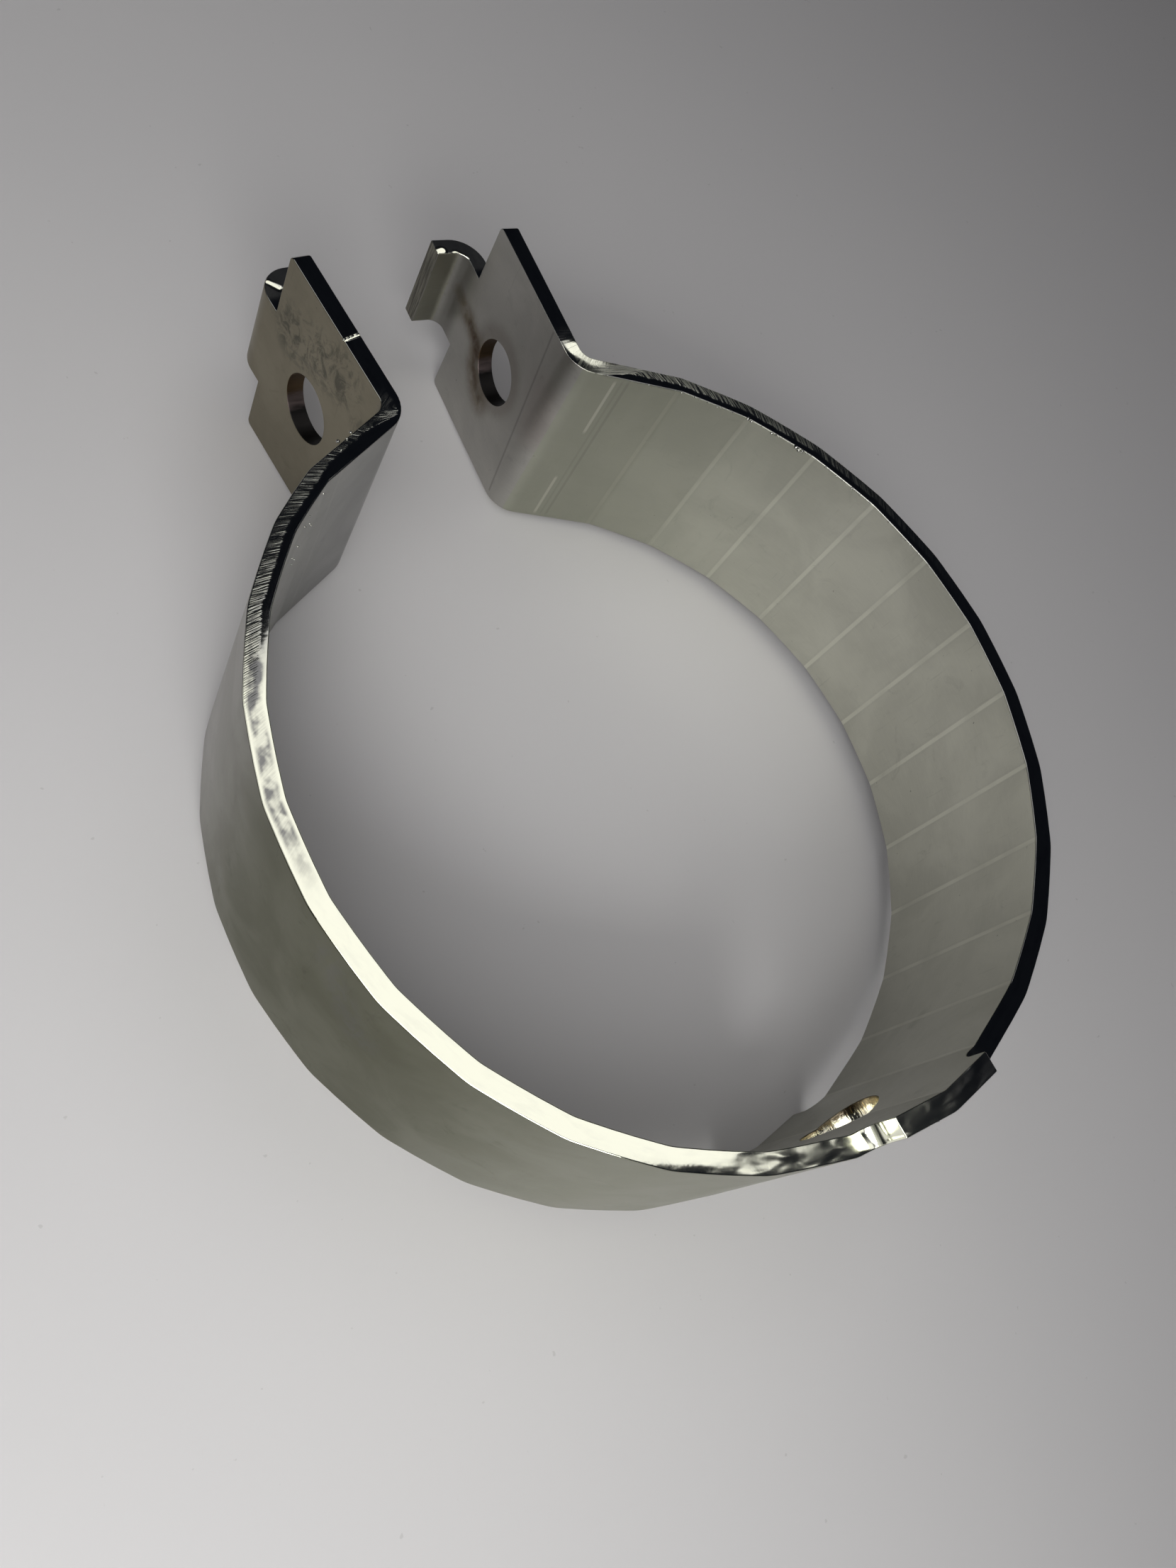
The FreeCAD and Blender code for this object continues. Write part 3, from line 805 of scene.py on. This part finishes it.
def holeWallFinish(name, h):
    mat, tree, shader = newMaterial(name)
    place = splitXyz(tree, inMillimetres(tree))
    x, y, z = place
    across = grain(tree, place, *h["across"])
    through = grain(tree, place, *h["through"])
    level = plus(
        tree, times(tree, minus(tree, y, strap["boltHole"][0]), h["upward"][0]),
        times(tree, z, h["upward"][1]), times(tree, across, 0.8), -0.4,
    )
    # painted shade on the low side of the bolt holes, a pinkish painted highlight above it, and
    # brown at the top
    bolt = tint(tree, fade(tree, level, -0.7, 0.1), h["dark"], h["pink"])
    bolt = tint(tree, fade(tree, level, 0.3, 1.1), bolt, h["brown"])
    edge = fade(tree, plus(tree, y, times(tree, through, 0.9)), *h["edgeAt"])
    low = fade(tree, plus(tree, x, times(tree, through, 1.2)), *h["lowEnd"], 0.8, 0.0)
    scorch = largest(tree, times(tree, edge, 0.9), low)
    mount = tint(tree, scorch, h["straw"], h["scorched"])
    mount = tint(tree, fade(tree, through, 0.55, 0.68, 0.0, 0.5), mount, h["amber"])
    onMount = fade(tree, y, 0.0, 10.0, 1.0, 0.0)
    boltRough = fade(tree, across, 0.3, 0.7, *h["boltRoughness"])
    rough = mixed(tree, onMount, boltRough, h["mountRoughness"])
    lift = relief(tree, across, 0.5, 0.02)
    lift = relief(tree, times(tree, through, onMount), 1.0, 0.035, lift)
    finished(tree, shader, tint(tree, onMount, bolt, mount), rough, lift)
    return mat


finishes = {
    "inside": insideFinish("satinInside", insideMarks),
    "outside": outsideFinish("satinOutside", outsideMarks),
    "cutEdge": cutEdgeFinish("laserCutEdge", cutEdge),
    "holeWall": holeWallFinish("holeWall", holeWall),
    "rightEar": rightEarFinish("rightEarSheet", earMarks),
    "leftEar": leftEarFinish("leftEarSheet", earMarks),
    "tab": tabFinish("tabSheet"),
    "tabEnd": tabEndFinish("tabEnd"),
}
print("finishes mixed")
makeStrap(strap, finishes)


# burrs and spatter that the laser left on the sheet's edge
burrs = {
    "seed": 11,
    # degrees round, height and place across the sheet, size in mm, of those that stand out
    "chosen": (
        (153.9, 9.42, -0.02, 0.10), (148.2, 9.42, -0.03, 0.08), (145.1, 9.42, -0.02, 0.07),
        (141.9, 9.40, -0.02, 0.08), (136.4, 9.44, -0.05, 0.20), (135.7, 9.36, -0.05, 0.13),
        (131.9, 9.40, -0.03, 0.13), (131.2, 9.42, -0.02, 0.10), (127.3, 9.42, -0.06, 0.21),
        (126.7, 9.34, -0.09, 0.16), (126.1, 9.40, -0.04, 0.17), (125.2, 9.42, 0.02, 0.10),
        (121.5, 9.42, -0.03, 0.10), (119.2, 9.40, -0.02, 0.09), (116.0, 9.42, -0.03, 0.12),
        (114.3, 9.40, -0.02, 0.09), (-3.1, 11.95, 1.40, 0.15), (-1.9, 11.98, 1.38, 0.12),
        (-0.6, 11.95, 1.36, 0.14), (0.9, 11.98, 1.32, 0.10), (-152.0, 9.46, 1.35, 0.13),
        (-153.2, 9.50, 1.05, 0.10), (-151.2, 9.48, 0.75, 0.09), (-154.4, 9.50, 1.25, 0.11),
    ),
    "edgeCount": 60,
    "edgeTurn": (97, 157),
    "edgeSize": (0.03, 0.07),
    "edgeStretch": (1.0, 1.8),
    "edgeHeight": 9.45,
    "spatterCount": 22,
    "spatterTurn": (-155, -139),
    "spatterHeight": (2.0, 9.0),
    "spatterSize": (0.05, 0.09),
    # the raised metal beside the nick across the left ear's edge
    "nickFrom": (-10.1, 35.62, 9.47),
    "nickRun": (1.15, 0.25),
    "nickShares": (0.0, 0.3, 0.6, 1.0),
    "nickSize": (0.24, 0.09, 0.08),
    "nickTurn": 0.21,
    "nickPast": 34,  # beads with a greater y belong to the nick
    "pale": (0.80, 0.80, 0.74, 1),
    "dark": (0.30, 0.30, 0.27, 1),
}


def onStrip(degrees, height, across):
    # the place of a point on the ring's sheet, in metres
    flat = min(math.floor(abs(degrees) / strap["pressStep"]), strap["lastFlat"])
    lean = math.radians(abs(degrees) - (flat + 0.5) * strap["pressStep"])
    far = (strap["flatRadius"] + across) / math.cos(lean)
    turn = math.radians(degrees)
    return Vector((far * math.sin(turn), -far * math.cos(turn), height)) * mm


def beadPlaces(b, rnd):
    beads = [(onStrip(*spot[:3]), (spot[3],) * 3) for spot in b["chosen"]]
    for _ in range(b["edgeCount"]):
        size = rnd.uniform(*b["edgeSize"])
        place = onStrip(rnd.uniform(*b["edgeTurn"]), b["edgeHeight"] - size * 0.5, -0.01)
        beads.append((place, (size * rnd.uniform(*b["edgeStretch"]), size, size)))
    for _ in range(b["spatterCount"]):
        size = rnd.uniform(*b["spatterSize"])
        turn, height = rnd.uniform(*b["spatterTurn"]), rnd.uniform(*b["spatterHeight"])
        beads.append((onStrip(turn, height, -0.02), (size, size, size)))
    x, y, z = b["nickFrom"]
    runX, runY = b["nickRun"]
    for share in b["nickShares"]:
        beads.append((Vector((x + runX * share, y + runY * share, z)) * mm, b["nickSize"]))
    return beads


def beadTurn(b, place, size, rnd):
    # round beads lie any way up, long ones lie along the edge or the nick
    along = math.atan2(place.y, place.x) + 1.57
    if size[0] == size[1]:
        return (rnd.uniform(0, 6.28), 0, along)
    return (0, 0, b["nickTurn"] if place.y > b["nickPast"] * mm else along)


def makeBurrs(b):
    clearSelection()
    bpy.ops.mesh.primitive_ico_sphere_add(subdivisions=2, radius=mm)
    seedBead = bpy.context.object
    bpy.ops.object.mode_set(mode="EDIT")
    bpy.ops.transform.vertex_random(
        offset=0.22 * mm, uniform=0.5, normal=0.6, seed=b["seed"],
    )
    bpy.ops.object.mode_set(mode="OBJECT")
    bpy.ops.object.shade_smooth()
    rnd = random.Random(b["seed"])
    copies = []
    for place, size in beadPlaces(b, rnd):
        bead = duplicateOf(seedBead)
        bead.location = place
        bead.rotation_euler = beadTurn(b, place, size, rnd)
        bead.scale = size
        copies.append(bead)
    clearSelection()
    for bead in copies:
        bead.select_set(True)
    bpy.context.view_layer.objects.active = copies[0]
    bpy.ops.object.transform_apply(location=True, rotation=True, scale=True)
    bpy.ops.object.join()
    piece = bpy.context.object
    piece.name = piece.data.name = "burrBeads"
    bpy.data.objects.remove(seedBead)
    mat, tree, shader = newMaterial("burrMetal")
    fine = speckle(tree, inMillimetres(tree), 6.0, 2.0)
    shade = tint(tree, fade(tree, fine, 0.4, 0.65), b["pale"], b["dark"])
    put(tree, shader.inputs["Base Color"], shade)
    put(tree, shader.inputs["Metallic"], 1.0)
    put(tree, shader.inputs["Roughness"], fade(tree, fine, 0.3, 0.7, 0.14, 0.34))
    piece.data.materials.clear()
    piece.data.materials.append(mat)
    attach(piece, "root")
    print("burrs made,", len(copies))


makeBurrs(burrs)


# pale table, tilted as the bracket rests on its pad and on the ears' lower corners
table = {
    "size": 3000,
    "squares": 12,
    "tilt": 2.055,
    "throughY": -29.57,
    "throughZ": -12.15,
    "colour": (0.56, 0.55, 0.55, 1),
    "shadow": (0.46, 0.46, 0.48, 1),
    "dust": (0.22, 0.21, 0.20, 1),
    "roughness": 0.42,
}


def makeTable(t):
    clearSelection()
    bpy.ops.mesh.primitive_grid_add(
        x_subdivisions=t["squares"], y_subdivisions=t["squares"], size=t["size"] * mm,
    )
    board = bpy.context.object
    board.name = "paleTable"
    tilt = math.radians(t["tilt"])
    drop = t["throughZ"] - t["throughY"] * math.tan(tilt)
    board.data.transform(Matrix.Rotation(tilt, 4, "X"))
    board.data.transform(Matrix.Translation((0, 0, drop * mm)))
    mat, tree, shader = newMaterial("paleBoard")
    spot = inMillimetres(tree)
    mottle = fade(tree, speckle(tree, spot, 0.05, 4.0, 0.5), 0.3, 0.7, 0.0, 0.05)
    dust = fade(tree, speckle(tree, spot, 1.1, 2.0, 0.5), 0.755, 0.785)
    shade = tint(tree, mottle, t["colour"], t["shadow"])
    shade = tint(tree, times(tree, dust, 0.25), shade, t["dust"])
    put(tree, shader.inputs["Base Color"], shade)
    put(tree, shader.inputs["Roughness"], t["roughness"])
    board.data.materials.append(mat)
    print("table made")


makeTable(table)


# soft studio lights, places in mm
lights = {
    "overhead": {
        "place": (78, 46, 400), "aim": (78, 46, 0), "size": (316, 300),
        "power": 0.30, "colour": (1.0, 0.985, 0.99), "spread": 180,
    },
    "key": {
        "place": (-190, -90, 260), "aim": (-5, -5, -12), "size": (200, 200),
        "power": 0.46, "colour": (1.0, 0.995, 1.0), "spread": 180,
    },
    "low": {
        "place": (-140, -170, 110), "aim": (-75, -50, -12), "size": (130, 130),
        "power": 0.075, "colour": (1.0, 1.0, 0.985), "spread": 60,
    },
    "back": {
        "place": (-130, 110, 150), "aim": (-20, 20, -12), "size": (140, 140),
        "power": 0.042, "colour": (1.0, 1.0, 1.0), "spread": 180,
    },
}
room = {"colour": (0.6, 0.7, 1.0, 1), "strength": 0.011}


def makeLights(softboxes):
    for name, box in softboxes.items():
        clearSelection()
        bpy.ops.object.light_add(type="AREA", location=Vector(box["place"]) * mm)
        lamp = bpy.context.object
        lamp.name = name + "Softbox"
        lamp.data.shape = "RECTANGLE"
        lamp.data.size, lamp.data.size_y = (v * mm for v in box["size"])
        lamp.data.energy = box["power"]
        lamp.data.color = box["colour"]
        lamp.data.spread = math.radians(box["spread"])
        toward = Vector(box["aim"]) - Vector(box["place"])
        lamp.rotation_euler = toward.to_track_quat("-Z", "Y").to_euler()
    print("lights placed")


def makeRoom(r):
    world = bpy.data.worlds.new("dimRoom")
    look.world = world
    world.use_nodes = True
    sky = world.node_tree.nodes["Background"]
    sky.inputs["Color"].default_value = r["colour"]
    sky.inputs["Strength"].default_value = r["strength"]


makeLights(lights)
makeRoom(room)

bpy.context.view_layer.update()
